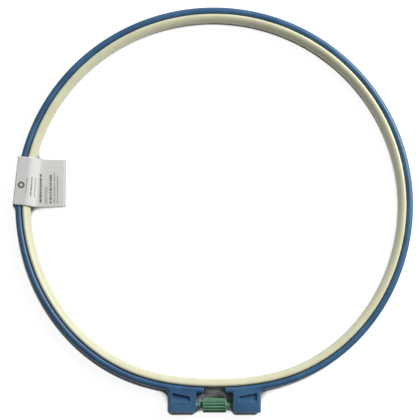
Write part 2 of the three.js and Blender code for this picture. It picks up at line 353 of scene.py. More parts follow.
@dataclass(frozen=True)
class MouldedPlastic:
    """Injection moulded polypropylene or ABS.

    The tool leaves a satin skin: soft wide highlights, a faint cloudiness where the melt flowed, and a
    fine parting line at mid height where the two halves of the mould met.
    """

    name: str
    colour: str
    shade: str
    roughness: float
    parting_height: float | None = None
    ior: float = 1.49
    roughness_spread: float = 0.05
    cloud: float = 16 * MM
    cloud_fade: tuple[float, float] = (0.35, 0.65)
    grain: float = 0.9 * MM
    grain_depth: float = 0.04 * MM
    grain_strength: float = 0.12
    parting_width: float = 0.12 * MM
    parting_rise: float = 0.05 * MM
    parting_strength: float = 0.6

    def material(self) -> bpy.types.Material:
        """Build the plastic's material.

        Returns:
            The material, on Object coordinates.
        """
        material = bpy.data.materials.new(self.name)
        material.use_nodes = True
        tree = material.node_tree
        shader = tree.nodes["Principled BSDF"]
        shader.inputs["IOR"].default_value = self.ior
        place = add_node(tree, "ShaderNodeTexCoord").outputs["Object"]
        # Flow clouds are some 16 mm long in the rings, as the melt mixes along the thin wall.
        clouds = add_node(tree, "ShaderNodeTexNoise", Vector=place, Scale=1 / self.cloud, Detail=4.0)
        low, high = self.cloud_fade
        flow = add_node(
            tree, "ShaderNodeMapRange", Value=clouds.outputs["Fac"], From_Min=low, From_Max=high
        ).outputs["Result"]
        colours = add_node(
            tree,
            "ShaderNodeMix",
            {"data_type": "RGBA"},
            Factor=flow,
            in_6=linear(self.shade),
            in_7=linear(self.colour),
        )
        gloss = add_node(
            tree,
            "ShaderNodeMapRange",
            Value=flow,
            To_Min=self.roughness - self.roughness_spread,
            To_Max=self.roughness + self.roughness_spread,
        )
        tree.links.new(colours.outputs[2], shader.inputs["Base Color"])
        tree.links.new(gloss.outputs["Result"], shader.inputs["Roughness"])
        tree.links.new(self._relief(tree, place), shader.inputs["Normal"])
        return material

    def _relief(self, tree: bpy.types.NodeTree, place: bpy.types.NodeSocket) -> bpy.types.NodeSocket:
        """Raise the skin's grain and the parting line.

        Args:
            tree: The material's node tree.
            place: The Object coordinates.

        Returns:
            The socket with the normal.
        """
        # The real skin's grain is about 0.1 mm. It is drawn at 0.9 mm so that it shows at all.
        grain = add_node(tree, "ShaderNodeTexNoise", Vector=place, Scale=1 / self.grain, Detail=2.0)
        skin = add_node(
            tree,
            "ShaderNodeBump",
            Height=grain.outputs["Fac"],
            Strength=self.grain_strength,
            Distance=self.grain_depth,
        ).outputs["Normal"]
        if self.parting_height is None:
            return skin
        ridge = add_node(
            tree,
            "ShaderNodeMath",
            {"operation": "COMPARE"},
            in_0=add_node(tree, "ShaderNodeSeparateXYZ", Vector=place).outputs["Z"],
            in_1=self.parting_height,
            in_2=self.parting_width / 2,
        )
        return add_node(
            tree,
            "ShaderNodeBump",
            Height=ridge.outputs[0],
            Strength=self.parting_strength,
            Distance=self.parting_rise,
            Normal=skin,
        ).outputs["Normal"]


@dataclass(frozen=True)
class PrintedLine:
    """A row of small print, drawn as plain bars with gaps between them as between words.

    reach is its distance from the fold, seen from above; low and high are its ends along the label; height
    is how wide the bars are; darkness is the ink's share; word is about how long a bar and its gap are.
    """

    reach: float
    low: float
    high: float
    height: float
    darkness: float
    word: float


@dataclass(frozen=True)
class LabelPaper:
    """Uncoated offset paper, about 120 g/m2, printed in one dark grey ink.

    It gives a dead matt white with a slight mottle of fibres, and print that breaks up at its edges.
    """

    name: str = "uncoated_label_paper"
    colour: str = "#e0dedc"
    shade: str = "#d9d7d5"
    ink: str = "#4c4c48"
    roughness: float = 0.88
    ior: float = 1.45
    specular: float = 0.25
    mottle: float = 2.2 * MM
    fibre: float = 0.7 * MM
    fibre_depth: float = 0.05 * MM
    fibre_strength: float = 0.25
    circle_reach: float = 4.3 * MM
    circle_along: float = 13.7 * MM
    circle_radius: float = 1.7 * MM
    circle_width: float = 1.3 * MM
    circle_darkness: float = 0.85
    gap_level: float = 0.4
    row_shift: float = 7.3
    strokes_per_height: float = 3.2
    stroke_contrast: float = 0.9
    stroke_base: float = 0.35

    def material(self, rows: Sequence[PrintedLine], arc_at: Callable[[float], float]) -> bpy.types.Material:
        """Build the paper's material with its print.

        Args:
            rows: The rows of print, or none for blank paper.
            arc_at: Turns a distance from the fold, seen from above, to one along the paper.

        Returns:
            The material, on the leaf's UV map in metres.
        """
        material = bpy.data.materials.new(self.name + "_printed" if rows else self.name)
        material.use_nodes = True
        tree = material.node_tree
        shader = tree.nodes["Principled BSDF"]
        shader.inputs["Roughness"].default_value = self.roughness
        shader.inputs["IOR"].default_value = self.ior
        shader.inputs["Specular IOR Level"].default_value = self.specular
        surface = add_node(tree, "ShaderNodeUVMap", {"uv_map": "paper"}).outputs["UV"]
        mottle = add_node(tree, "ShaderNodeTexNoise", Vector=surface, Scale=1 / self.mottle, Detail=4.0)
        face = add_node(
            tree,
            "ShaderNodeMix",
            {"data_type": "RGBA"},
            Factor=mottle.outputs["Fac"],
            in_6=linear(self.shade),
            in_7=linear(self.colour),
        ).outputs[2]
        if rows:
            face = add_node(
                tree,
                "ShaderNodeMix",
                {"data_type": "RGBA"},
                Factor=self._print(tree, surface, rows, arc_at),
                in_6=face,
                in_7=linear(self.ink),
            ).outputs[2]
        tree.links.new(face, shader.inputs["Base Color"])
        # Fibres are about 0.03 mm thick. They are drawn as a 0.7 mm tooth so that they show at all.
        tooth = add_node(tree, "ShaderNodeTexNoise", Vector=surface, Scale=1 / self.fibre, Detail=2.0)
        relief = add_node(
            tree,
            "ShaderNodeBump",
            Height=tooth.outputs["Fac"],
            Strength=self.fibre_strength,
            Distance=self.fibre_depth,
        )
        tree.links.new(relief.outputs["Normal"], shader.inputs["Normal"])
        return material

    def _print(
        self,
        tree: bpy.types.NodeTree,
        surface: bpy.types.NodeSocket,
        rows: Sequence[PrintedLine],
        arc_at: Callable[[float], float],
    ) -> bpy.types.NodeSocket:
        """Work out how much ink covers each point.

        Args:
            tree: The material's node tree.
            surface: The UV coordinates, in metres.
            rows: The rows of print.
            arc_at: Turns a distance from the fold, seen from above, to one along the paper.

        Returns:
            The socket with the share of ink, from 0 to 1.
        """
        from_circle = add_node(
            tree,
            "ShaderNodeVectorMath",
            {"operation": "DISTANCE"},
            in_0=surface,
            in_1=(arc_at(self.circle_reach), self.circle_along, 0),
        ).outputs["Value"]
        circle = add_node(
            tree,
            "ShaderNodeMath",
            {"operation": "COMPARE"},
            in_0=from_circle,
            in_1=self.circle_radius,
            in_2=self.circle_width / 2,
        ).outputs[0]
        cover = add_node(
            tree, "ShaderNodeMath", {"operation": "MULTIPLY"}, in_0=circle, in_1=self.circle_darkness
        ).outputs[0]
        for number, row in enumerate(rows):
            ink = self._row_ink(tree, surface, row, arc_at(row.reach), number * self.row_shift)
            cover = add_node(tree, "ShaderNodeMath", {"operation": "MAXIMUM"}, in_0=cover, in_1=ink).outputs[0]
        return add_node(tree, "ShaderNodeMath", {"operation": "MINIMUM"}, in_0=cover, in_1=1.0).outputs[0]

    def _row_ink(
        self,
        tree: bpy.types.NodeTree,
        surface: bpy.types.NodeSocket,
        row: PrintedLine,
        reach: float,
        shift: float,
    ) -> bpy.types.NodeSocket:
        """Work out one row's ink.

        Args:
            tree: The material's node tree.
            surface: The UV coordinates, in metres.
            row: The row of print.
            reach: The row's distance from the fold, along the paper.
            shift: Where in the noise the row's words start, so that rows differ.

        Returns:
            The socket with the row's share of ink.
        """
        parts = add_node(tree, "ShaderNodeSeparateXYZ", Vector=surface).outputs
        in_height = add_node(
            tree, "ShaderNodeMath", {"operation": "COMPARE"}, in_0=parts["X"], in_1=reach, in_2=row.height / 2
        )
        in_length = add_node(
            tree,
            "ShaderNodeMath",
            {"operation": "COMPARE"},
            in_0=parts["Y"],
            in_1=(row.low + row.high) / 2,
            in_2=(row.high - row.low) / 2,
        )
        # Words differ in length, so the gaps come from a noise along the row.
        along = add_node(
            tree, "ShaderNodeMath", {"operation": "MULTIPLY_ADD"}, in_0=parts["Y"], in_1=1 / row.word, in_2=shift
        )
        words = add_node(tree, "ShaderNodeTexNoise", {"noise_dimensions": "1D"}, W=along.outputs[0], Detail=0.0)
        in_word = add_node(
            tree, "ShaderNodeMath", {"operation": "GREATER_THAN"}, in_0=words.outputs["Fac"], in_1=self.gap_level
        )
        # Letters would be about a third of the row's height wide. A noise as fine breaks up the bars.
        strokes = add_node(
            tree,
            "ShaderNodeTexNoise",
            {"noise_dimensions": "2D"},
            Vector=surface,
            Scale=self.strokes_per_height / row.height,
            Detail=1.0,
        )
        ink = add_node(
            tree,
            "ShaderNodeMath",
            {"operation": "MULTIPLY_ADD"},
            in_0=strokes.outputs["Fac"],
            in_1=self.stroke_contrast,
            in_2=self.stroke_base,
        ).outputs[0]
        for share in (in_word.outputs[0], in_height.outputs[0], in_length.outputs[0], row.darkness):
            ink = add_node(tree, "ShaderNodeMath", {"operation": "MULTIPLY"}, in_0=ink, in_1=share).outputs[0]
        return ink


# The pieces


@dataclass(frozen=True)
class RingPlan:
    """The plan that both rings share: a circle, drawn in where the stiff clamp ends hold it.

    Lengths are in metres about the rings' own centre.
    """

    centre: Vector
    height: float
    clamp_radius: float
    outer_radius: float
    screw_y: float
    face_y: float
    flat_depth: float = 5.6 * MM
    flat_spread: float = math.radians(25)
    steps: int = 720
    settling_steps: int = 8

    @classmethod
    def from_cad(cls) -> "RingPlan":
        """Read the rings' centre and radii from the CAD nodes' boxes.

        Returns:
            The plan.
        """
        inner_low, inner_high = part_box("inner_ring")
        outer_low, outer_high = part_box("outer_ring")
        screw_low, screw_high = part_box("tightening_screw")
        outer_radius = (outer_high.x - outer_low.x) / 2
        middle = (inner_low + inner_high) / 2
        centre = Vector((middle.x, outer_high.y - outer_radius, middle.z))
        return cls(
            centre=centre,
            height=inner_high.z - inner_low.z,
            clamp_radius=(inner_high.x - inner_low.x) / 2,
            outer_radius=outer_radius,
            screw_y=(screw_low.y + screw_high.y) / 2 - centre.y,
            face_y=outer_low.y - centre.y,
        )

    def drawn_in(self, from_screw: float) -> float:
        """Tell how far the rings are drawn in at an angle away from the screw."""
        return self.flat_depth * math.exp(-((from_screw / self.flat_spread) ** 2))

    def front(self, radius: float, x: float) -> float:
        """Find a ring line's -Y side.

        Args:
            radius: The line's radius where the ring is round.
            x: Where along X.

        Returns:
            The line's Y there.
        """
        angle = 0.0
        for _ in range(self.settling_steps):
            angle = math.asin(x / (radius - self.drawn_in(angle)))
        return -(radius - self.drawn_in(angle)) * math.cos(angle)

    def ring(self, section: Sequence[Vector]) -> bmesh.types.BMesh:
        """Turn a section about Z and draw the ring in towards the screw.

        Args:
            section: The closed section in the XZ plane.

        Returns:
            The ring, about its own centre.
        """
        mesh = turned(section, Vector((0, 0, 1)), self.steps, closed=True)
        for vert in mesh.verts:
            drawn = self.drawn_in(math.atan2(vert.co.x, -vert.co.y))
            vert.co.xy *= 1 - drawn / vert.co.xy.length
        return mesh


@dataclass
class OuterRing:
    """The blue split ring, with a pocketed and bored clamp block at each end."""

    plan: RingPlan
    thickness: float = 4.2 * MM
    crown: float = 1.6 * MM
    split_half: float = 7.1 * MM
    end_edge: float = 0.35 * MM
    block_inner: float = 12.25 * MM
    block_width: float = 18.8 * MM
    block_edge: float = 0.5 * MM
    block_far_edge: float = 1.6 * MM
    block_corner: float = 0.9 * MM
    block_fillet: float = 2.6 * MM
    block_root: float = 0.3 * MM
    pocket_depth: float = 1.8 * MM
    pocket_outer_rim: float = 3.0 * MM
    pocket_inner_rim: float = 4.4 * MM
    pocket_outer_roof: float = 1.8 * MM
    pocket_inner_roof: float = 3.0 * MM
    pocket_floor_wall: float = 1.2 * MM
    pocket_ramp: float = 1.7 * MM
    pocket_draft: float = 0.25 * MM
    pocket_corner: float = 0.7 * MM
    pocket_lip: float = 0.2 * MM
    pocket_floor_edge: float = 0.3 * MM
    bore_radius: float = 2.5 * MM
    bore_end_wall: float = 2.1 * MM
    bore_lip: float = 0.4 * MM
    cutter_overlap: float = 1 * MM
    crown_steps: int = 16
    end_steps: int = 3
    edge_steps: int = 8
    pocket_corner_steps: int = 4
    lip_steps: int = 5
    bore_steps: int = 48

    @property
    def half_height(self) -> float:
        """Half the ring's height."""
        return self.plan.height / 2

    @property
    def pocket_floor(self) -> float:
        """The height of the upper pockets' floor."""
        return self.half_height - self.pocket_depth

    def build(self) -> bpy.types.Object:
        """Build the moulding.

        Returns:
            The ring with both blocks, in place.
        """
        ring = place_mesh(self._band(), "outer_ring_moulding", self.plan.centre)
        blocks = place_mesh(self._blocks(), "blocks", self.plan.centre)
        pockets = place_mesh(self._pockets(), "pockets", self.plan.centre)
        bores = place_mesh(self._bores(), "bores", self.plan.centre)
        join_and_cut(ring, [blocks], [pockets, bores])
        smooth_piece(ring)
        return ring

    def dress(self, piece: bpy.types.Object) -> None:
        """Give the moulding its finish and its body.

        Args:
            piece: The moulding.
        """
        finish = MouldedPlastic(
            "blue_moulded_polypropylene", "#3c668c", "#32597e", 0.38, parting_height=self.plan.centre.z
        )
        piece.data.materials.append(finish.material())
        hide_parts("outer_ring")
        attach(piece, "outer_ring")

    def _rounded_in(self, radius: float, z: float) -> float:
        """Tell how far an edge rounded over a radius stands in at a height."""
        past = abs(z) - (self.half_height - radius)
        return radius - math.sqrt(max(radius**2 - past**2, 0)) if past > 0 else 0.0

    def _band(self) -> bmesh.types.BMesh:
        """Turn the band and cut its split, with rounded edges at the two ends.

        Returns:
            The band, about the rings' own centre.
        """
        flat = Vector((0, 0, self.half_height - self.crown))
        across = Vector((self.thickness / 2, 0, 0))
        up = Vector((0, 0, self.crown))
        middle = Vector((self.plan.outer_radius - self.thickness / 2, 0, 0))
        upper = arc(middle + flat, across, up, 0, 2, self.crown_steps)
        lower = arc(middle - flat, across, up, 2, 4, self.crown_steps)
        mesh = self.plan.ring([*upper, *lower])
        for side in Side:
            near_screw = [face for face in mesh.faces if face.calc_center_median().y < 0]
            edges = {edge for face in near_screw for edge in face.edges}
            verts = {vert for face in near_screw for vert in face.verts}
            bmesh.ops.bisect_plane(
                mesh,
                geom=[*verts, *edges, *near_screw],
                plane_co=(side.value * self.split_half, 0, 0),
                plane_no=(1, 0, 0),
            )
        gap = [
            face
            for face in mesh.faces
            if face.calc_center_median().y < 0 and abs(face.calc_center_median().x) < self.split_half
        ]
        bmesh.ops.delete(mesh, geom=gap, context="FACES")
        rims = [edge for edge in mesh.edges if edge.is_boundary]
        bmesh.ops.holes_fill(mesh, edges=rims)
        bmesh.ops.bevel(
            mesh,
            geom=rims,
            offset=self.end_edge,
            offset_type="OFFSET",
            segments=self.end_steps,
            profile=0.5,
            affect="EDGES",
            material=-1,
        )
        bmesh.ops.recalc_face_normals(mesh, faces=mesh.faces[:])
        return mesh

    def _block_outline(self, z: float) -> list[Vector]:
        """Give the right-hand block's outline at a height.

        Args:
            z: The height, from the rings' own middle.

        Returns:
            The outline, from the screw's side round to the band and along inside it.
        """
        near = self.block_inner + self._rounded_in(self.block_edge, z)
        face = self.plan.face_y + self._rounded_in(self.block_edge, z)
        far = self.block_inner + self.block_width - self._rounded_in(self.block_far_edge, z)
        crown_in = self._rounded_in(self.crown, z) * self.thickness / 2 / self.crown
        band_side = self.plan.outer_radius - crown_in
        root = self.plan.outer_radius - self.thickness / 2 - self.block_root
        end = far + self.block_fillet
        start = Vector((near, face, z))
        corner = Vector((far, face, z))
        turn = Vector((far, self.plan.front(band_side, far), z))
        fillet_start = Vector((far, turn.y - self.block_fillet, z))
        fillet_end = Vector((end, self.plan.front(band_side, end), z))
        before = (start - corner).normalized() * self.block_corner
        after = (turn - corner).normalized() * self.block_corner
        inside = []
        for step in range(self.edge_steps + 1):
            x = end + (near - end) * step / self.edge_steps
            inside.append(Vector((x, self.plan.front(root, x), z)))
        return [
            start,
            *bend(corner, before, after, self.edge_steps),
            *bend(turn, fillet_start - turn, fillet_end - turn, self.edge_steps),
            *inside,
        ]

    def _blocks(self) -> bmesh.types.BMesh:
        """Loft the right-hand block and mirror it.

        Returns:
            Both blocks, about the rings' own centre.
        """
        start = self.half_height - self.block_far_edge
        upper = [start + self.block_far_edge * math.sin(angle) for angle in quarter(2 * self.edge_steps)]
        heights = [-z for z in reversed(upper)] + upper
        mesh = lofted([self._block_outline(z) for z in heights])
        mirrored(mesh, "X")
        return mesh

    def _pocket_outline(self, z: float) -> list[Vector]:
        """Give the outline of the upper right-hand pocket at a height.

        Args:
            z: The height, from the rings' own middle.

        Returns:
            The outline. It leans out all the way up, most at the ramp beside the bore.
        """
        inner = self.block_inner + self.pocket_inner_rim
        outer = self.block_inner + self.block_width - self.pocket_outer_rim
        roof_inner = self.plan.front(self.plan.outer_radius, inner) - self.pocket_inner_roof
        roof_outer = self.plan.front(self.plan.outer_radius, outer) - self.pocket_outer_roof
        beside_bore = self.plan.screw_y + self.bore_radius + self.pocket_floor_wall
        above_floor = z - self.pocket_floor
        share = min(above_floor / self.pocket_depth, 1)
        lean, ramp = self.pocket_draft * share, self.pocket_ramp * share
        corners = [
            Vector((inner - lean, beside_bore - ramp, z)),
            Vector((outer + lean, beside_bore - ramp, z)),
            Vector((outer + lean, roof_outer + lean, z)),
            Vector((inner - lean, roof_inner + lean, z)),
        ]
        amount = lip(self.pocket_lip, self.half_height - z) - lip(self.pocket_floor_edge, above_floor)
        return widened(rounded(corners, self.pocket_corner, self.pocket_corner_steps), amount)

    def _pockets(self) -> bmesh.types.BMesh:
        """Loft the cutter of one lightening pocket and mirror it to both blocks and both faces.

        Returns:
            The four cutters, about the rings' own centre.
        """
        angles = quarter(self.lip_steps)
        low = [self.pocket_floor + self.pocket_floor_edge * (1 - math.cos(angle)) for angle in angles]
        high = [self.half_height - self.pocket_lip * math.cos(angle) for angle in angles]
        above = self.half_height + self.cutter_overlap
        mesh = lofted([self._pocket_outline(z) for z in [*low, *high, above]])
        mirrored(mesh, "X")
        mirrored(mesh, "Z")
        return mesh

    def _bores(self) -> bmesh.types.BMesh:
        """Turn the cutter of one blind bore, with a lip at its mouth, and mirror it.

        Returns:
            Both cutters, about the rings' own centre.
        """
        mouth = self.block_inner
        start, end = mouth - self.cutter_overlap, mouth + self.block_width - self.bore_end_wall
        radius, lip_radius = self.bore_radius, self.bore_lip
        curve = [Vector((mouth + lip_radius * math.sin(angle), 0, 0)) for angle in quarter(self.lip_steps)]
        for point in curve:
            point.z = radius + lip(lip_radius, point.x - mouth)
        profile = [
            Vector((start, 0, 0)),
            Vector((start, 0, radius + lip_radius)),
            *curve,
            Vector((end - radius / 2, 0, radius)),
            Vector((end, 0, 0)),
        ]
        mesh = turned(profile, Vector((1, 0, 0)), self.bore_steps, closed=False)
        bmesh.ops.translate(mesh, vec=(0, self.plan.screw_y, 0), verts=mesh.verts[:])
        mirrored(mesh, "X")
        return mesh


@dataclass
class InnerRing:
    """The cream closed ring: flat outside, small shoulders, and a long inner side.

    The inner side's outline is between an oval and a rhomb: at a fullness of 2 it would be the oval.
    """

    plan: RingPlan
    width: float = 5.6 * MM
    shoulder: float = 1.2 * MM
    fullness: float = 1.65
    shoulder_steps: int = 8
    slope_steps: int = 36

    def build(self) -> bpy.types.Object:
        """Build the moulding.

        Returns:
            The ring, in place.
        """
        crest = Vector((self.plan.clamp_radius - self.shoulder, 0, 0))
        flat = Vector((0, 0, self.plan.height / 2 - self.shoulder))
        across, up = Vector((self.shoulder, 0, 0)), Vector((0, 0, self.shoulder))
        section = [
            *arc(crest + flat, across, up, 0, 1, self.shoulder_steps),
            *self._inner_side(crest),
            *arc(crest - flat, across, up, 3, 4, self.shoulder_steps)[1:],
        ]
        piece = place_mesh(self.plan.ring(section), "inner_ring_moulding", self.plan.centre)
        smooth_piece(piece)
        return piece

    def dress(self, piece: bpy.types.Object) -> None:
        """Give the moulding its finish and its body.

        Args:
            piece: The moulding.
        """
        finish = MouldedPlastic(
            "cream_moulded_polypropylene", "#e1dfc0", "#dad7b6", 0.36, parting_height=self.plan.centre.z
        )
        piece.data.materials.append(finish.material())
        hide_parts("inner_ring")
        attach(piece, "inner_ring")

    def _inner_side(self, crest: Vector) -> list[Vector]:
        """Draw the inner side.

        Args:
            crest: The middle of the section, under its crest.

        Returns:
            The points, from just past the top crest down to the bottom one.
        """
        points = []
        for i in range(1, self.slope_steps + 1):
            turn = FULL_TURN / 2 * i / self.slope_steps
            across = math.sin(turn) ** (2 / self.fullness) if i < self.slope_steps else 0
            up = math.copysign(abs(math.cos(turn)) ** (2 / self.fullness), math.cos(turn))
            points.append(crest + Vector(((self.shoulder - self.width) * across, 0, self.plan.height / 2 * up)))
        return points


@dataclass
class TighteningScrew:
    """The green turnbuckle: a fluted barrel with a threaded shank out of each end, of opposite hands.

    At a sharpness of 1 a flute or a thread would be a plain wave. Above it the crests are broader than the
    grooves, and below it they are narrower.
    """

    plan: RingPlan
    barrel_length: float = 15.8 * MM
    barrel_radius: float = 4.85 * MM
    end_chamfer: float = 0.35 * MM
    collar: float = 0.75 * MM
    flute_run_out: float = 0.35 * MM
    flute_sharpness: float = 1.2
    rib_count: int = 14
    rib_steps: int = 8
    rib_depth: float = 1.3 * MM
    rib_turn: float = math.radians(8)
    shank_radius: float = 2.2 * MM
    thread_depth: float = 0.35 * MM
    thread_pitch: float = 2.0 * MM
    thread_sharpness: float = 0.8
    steps_per_pitch: int = 14
    neck_plain: float = 1.0 * MM
    tip: float = 0.8 * MM

    def build(self) -> bpy.types.Object:
        """Build the moulding.

        Returns:
            The screw, in place.
        """
        low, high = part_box("tightening_screw")
        end = (high.x - low.x) / 2
        barrel_end = self.barrel_length / 2
        shoulder = barrel_end - self.end_chamfer
        collar = barrel_end - self.collar
        flutes = collar - self.flute_run_out
        steps = round((end - barrel_end) / self.thread_pitch * self.steps_per_pitch)
        shank = [end + (barrel_end - end) * i / steps for i in range(steps + 1)]
        half = [flutes, collar, shoulder, barrel_end]
        outlines = [self._shank_outline(-x, Hand.LEFT_HAND, end) for x in shank]
        outlines += [self._barrel_outline(x) for x in [*(-x for x in reversed(half)), *half]]
        outlines += [self._shank_outline(x, Hand.RIGHT_HAND, end) for x in reversed(shank)]
        piece = place_mesh(lofted(outlines), "tightening_screw_moulding", (low + high) / 2)
        smooth_piece(piece)
        return piece

    def dress(self, piece: bpy.types.Object) -> None:
        """Give the moulding its finish and its body.

        Args:
            piece: The moulding.
        """
        finish = MouldedPlastic("green_moulded_abs", "#6a9c80", "#5f9073", 0.4, cloud=6 * MM)
        piece.data.materials.append(finish.material())
        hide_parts("tightening_screw")
        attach(piece, "tightening_screw")

    def _angles(self) -> list[float]:
        """Give the turns about X at which every cross-section has its points."""
        count = self.rib_count * self.rib_steps
        return [FULL_TURN * i / count for i in range(count)]

    def _outline(self, x: float, radii: Sequence[float]) -> list[Vector]:
        """Give the cross-section at X from its radii at those turns."""
        return [Vector((x, r * math.cos(angle), r * math.sin(angle))) for angle, r in zip(self._angles(), radii)]

    def _barrel_outline(self, x: float) -> list[Vector]:
        """Give the barrel's outline: fluted, with a smooth collar and a chamfer at each end.

        Args:
            x: Where along the screw, from its middle.

        Returns:
            The outline.
        """
        top = FULL_TURN / 4 - self.rib_turn
        from_end = self.barrel_length / 2 - abs(x)
        chamfer = max(self.end_chamfer - from_end, 0)
        depth = self.rib_depth if from_end > self.collar + self.flute_run_out / 2 else 0.0
        grooves = [(1 - math.cos(self.rib_count * (angle - top))) / 2 for angle in self._angles()]
        radii = [self.barrel_radius - chamfer - depth * groove**self.flute_sharpness for groove in grooves]
        return self._outline(x, radii)

    def _shank_outline(self, x: float, hand: Hand, end: float) -> list[Vector]:
        """Give a shank's outline: a thread that fades out at the barrel, and a chamfered tip.

        Args:
            x: Where along the screw, from its middle.
            hand: The thread's hand.
            end: How far from the middle the shank ends.

        Returns:
            The outline.
        """
        from_barrel = abs(x) - self.barrel_length / 2
        fade = min(max((from_barrel - self.neck_plain) / self.thread_pitch, 0), 1)
        tip = max(self.tip - (end - abs(x)), 0)
        phases = [x / self.thread_pitch - hand.value * angle / FULL_TURN for angle in self._angles()]
        grooves = [(0.5 - 0.5 * math.cos(phase * FULL_TURN)) ** self.thread_sharpness for phase in phases]
        radii = [self.shank_radius - tip - self.thread_depth * fade * groove for groove in grooves]
        return self._outline(x, radii)


@dataclass
class Label:
    """The paper label: one strip folded round both rings, in two leaves that meet at the cut outer fold.

    Each leaf has its own frame: X from the fold towards the hoop's centre, Y along the rings, Z up. Where
    the strip drops off the inner ring it turns a little away from the screw, and that side hangs lower.
    The strip sits a little farther from the screw than in the CAD model: slid is by how much.
    """

    fold: Vector
    turn: Matrix
    height: float = 33.1 * MM
    slid: float = 0.9 * MM
    end: float = 32.6 * MM
    lower_overhang: float = 1.2 * MM
    thickness: float = 0.25 * MM
    crest: float = 7.66 * MM
    join: float = 14.7 * MM
    join_height: float = 4.1 * MM
    join_rise: float = 0.8 * MM
    loose_turn: float = math.radians(6)
    leaf_gap: float = 0.65 * MM
    fold_bend: float = 0.6 * MM
    under_fold: float = 0.9 * MM
    drape_turn: float = math.radians(55)
    wave: float = 0.25 * MM
    bow: float = 1.4
    bow_level: float = 0.6
    ripple: float = 0.6
    ripple_reach: float = 9 * MM
    ripple_along: float = 11 * MM
    ripple_start: float = 0.8
    fold_steps: int = 6
    drape_steps: int = 14
    across_steps: int = 40
    longest_step: float = 0.8 * MM
    rows: tuple[PrintedLine, ...] = (
        PrintedLine(reach=7.9 * MM, low=8.8 * MM, high=18.6 * MM, height=0.8 * MM, darkness=0.7, word=1.4 * MM),
        PrintedLine(reach=11.0 * MM, low=6.8 * MM, high=20.1 * MM, height=1.2 * MM, darkness=0.95, word=2.6 * MM),
        PrintedLine(reach=13.3 * MM, low=6.6 * MM, high=19.4 * MM, height=1.0 * MM, darkness=0.85, word=1.8 * MM),
        PrintedLine(reach=16.6 * MM, low=3.0 * MM, high=23.2 * MM, height=1.4 * MM, darkness=1.1, word=2.4 * MM),
        PrintedLine(reach=20.3 * MM, low=2.0 * MM, high=14.3 * MM, height=2.0 * MM, darkness=0.55, word=2.2 * MM),
        PrintedLine(reach=23.4 * MM, low=2.4 * MM, high=22.5 * MM, height=1.6 * MM, darkness=0.9, word=3.4 * MM),
        PrintedLine(reach=25.9 * MM, low=2.7 * MM, high=24.0 * MM, height=1.1 * MM, darkness=0.65, word=2.0 * MM),
        PrintedLine(reach=28.0 * MM, low=2.9 * MM, high=22.2 * MM, height=1.0 * MM, darkness=0.6, word=1.6 * MM),
    )

    @classmethod
    def from_frame(cls, frame: dict) -> "Label":
        """Find the fold from the label's hinge.


        Returns:
            The label.
        """
        hinge = next(joint for joint in frame["joints"] if joint["name"] == "label_opening")
        along = -Vector(hinge["axis"])
        towards = along.cross(Vector((0, 0, 1)))
        return cls(Vector(hinge["pos_m"]), Matrix((towards, along, Vector((0, 0, 1)))).transposed())

    def build(self) -> list[bpy.types.Object]:
        """Build both leaves.

        Returns:
            The upper leaf and the lower leaf, in place.
        """
        upper = self._leaf("label_upper_paper", self.upper_line, 0.0)
        lower = self._leaf("label_lower_paper", self.lower_line, self.lower_overhang)
        return [upper, lower]

    def dress(self, leaves: Sequence[bpy.types.Object]) -> None:
        """Give the leaves their paper, the upper one's print, and their bodies.

        Args:
            leaves: The upper leaf and the lower leaf.
        """
        upper, lower = leaves
        paper = LabelPaper()
        upper.data.materials.append(paper.material(self.rows, self.arc_at))
        lower.data.materials.append(paper.material((), self.arc_at))
        for leaf, node, body in (
            (upper, "label_upper_leaf", "label_upper_leaf"),
            (lower, "label_lower_leaf", "outer_ring"),
        ):
            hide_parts(node)
            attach(leaf, body)

    def upper_line(self, y: float) -> list[Vector]:
        """Give the upper leaf's top side at a place along the rings.

        Args:
            y: Where along the rings, from the label's middle.

        Returns:
            The bend at the fold, the flat over the rings, the drape and the loose end.
        """
        radius = self.fold_bend
        across, up = Vector((radius, 0, 0)), Vector((0, 0, radius))
        top = self.fold.z
        flat = Vector((self.crest, 0, top))
        foot = Vector((self.join, 0, self._join_height(y)))
        return [
            *arc(Vector((radius, 0, top - radius)), across, up, 2, 1, self.fold_steps),
            *self._drape(flat, foot),
            Vector((self.end - y * math.tan(self.loose_turn), 0, foot.z)),
        ]

    def lower_line(self, y: float) -> list[Vector]:
        """Give the lower leaf's inner side at a place along the rings.

        Args:
            y: Where along the rings, from the label's middle.

        Returns:
            The wall beside the outer ring, the fold under it, the flat, the drape and the loose end.
        """
        radius = self.under_fold
        across, up = Vector((radius, 0, 0)), Vector((0, 0, radius))
        wall = self.thickness
        flat = Vector((self.crest, 0, self.thickness))
        foot = Vector((self.join, 0, self._join_height(y) - self.leaf_gap))
        return [
            Vector((wall, 0, self.fold.z - self.fold_bend)),
            *arc(Vector((wall + radius, 0, self.thickness + radius)), across, up, 2, 3, self.fold_steps),
            *self._drape(flat, foot),
            Vector((self.upper_line(y)[-1].x + self.lower_overhang, 0, foot.z)),
        ]

    def arc_at(self, reach: float) -> float:
        """Turn a distance from the fold, seen from above, to one along the upper leaf.

        Args:
            reach: The distance seen from above, more than 0.

        Returns:
            The distance along the paper, at most the leaf's length.
        """
        travelled = 0.0
        line = self.upper_line(0)
        for start, end in zip(line, line[1:]):
            if reach <= end.x:
                return travelled + (end - start).length * (reach - start.x) / (end.x - start.x)
            travelled += (end - start).length
        return travelled

    def _join_height(self, y: float) -> float:
        """Tell how high the leaves meet at a place along the rings."""
        return self.join_height - self.join_rise * y / (self.height / 2)

